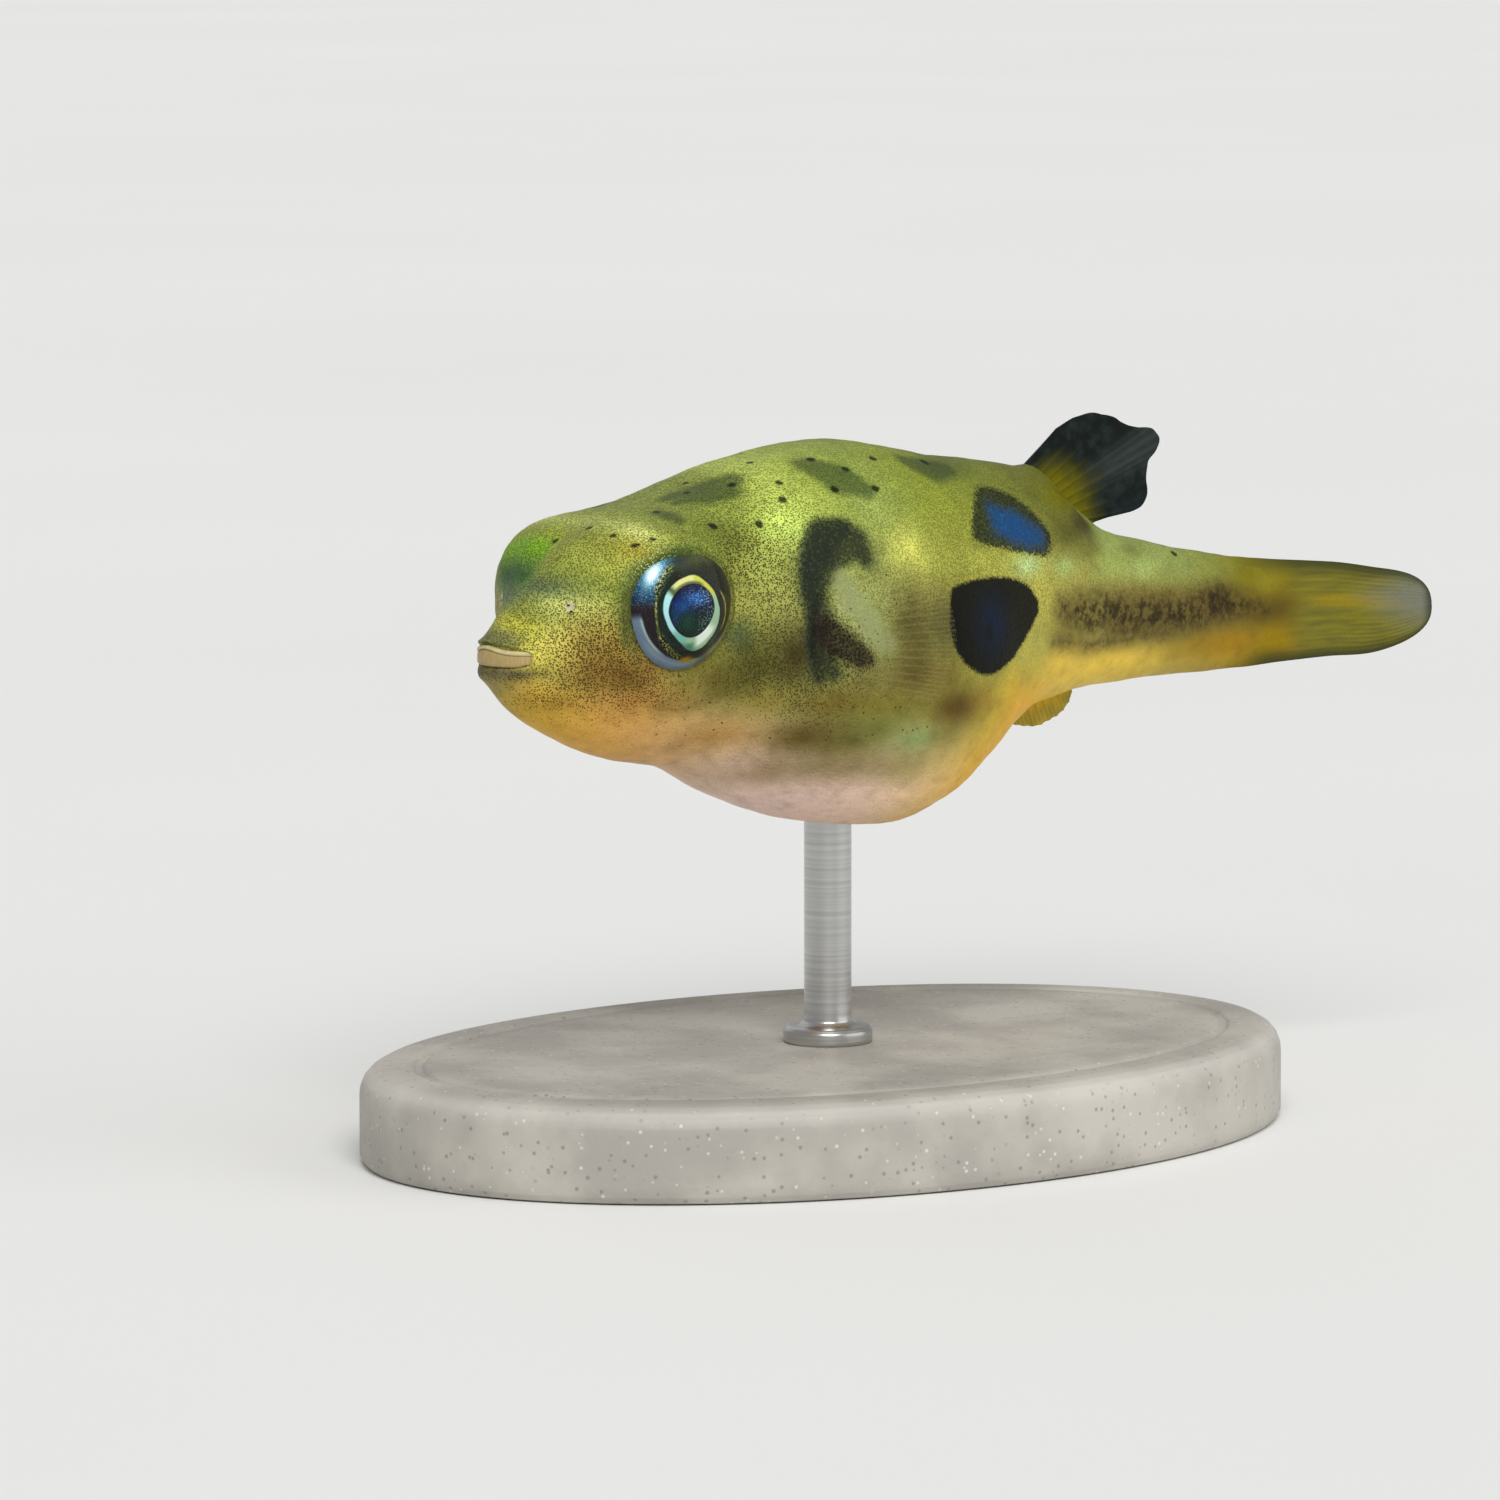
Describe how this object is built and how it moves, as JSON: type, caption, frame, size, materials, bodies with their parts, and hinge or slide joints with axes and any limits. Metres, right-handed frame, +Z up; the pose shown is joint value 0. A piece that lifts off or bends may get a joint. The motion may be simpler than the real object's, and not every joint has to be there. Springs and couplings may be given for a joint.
{
  "type": "freshwater pufferfish model",
  "caption": "Life-size model of a dwarf freshwater pufferfish, level as if swimming, held by a rod over a flat oval base.",
  "frame": {"origin": "centre of the underside of the stand's oval base, under the fish's balance point", "axes": "+Z up; the fish's nose points to -X and its tail to +X; its left side faces -Y"},
  "size_m": [0.0331, 0.018, 0.0179],
  "materials": {
    "skin": "painted cast skin, yellow-green with black and blue blotches, moist gloss",
    "eye": "polished eye, blue-green pupil with a pale gold ring",
    "beak": "smooth tan beak",
    "fin_dark": "rayed fin, near black with a yellow root",
    "fin_olive": "rayed fin, olive yellow",
    "fin_clear": "thin clear rayed fin",
    "stand_base": "satin warm grey paint",
    "stand_rod": "satin steel"
  },
  "bodies": {
    "root": {"head": "skin", "trunk": "skin", "tail": "skin", "eye_left": "eye", "eye_right": "eye", "beak_upper": "beak", "beak_lower": "beak", "fin_dorsal": "fin_dark", "fin_anal": "fin_olive", "fin_caudal": "fin_olive", "fin_pectoral_left": "fin_clear", "fin_pectoral_right": "fin_clear", "stand_base": "stand_base", "stand_rod": "stand_rod"}
  },
  "joints": []
}
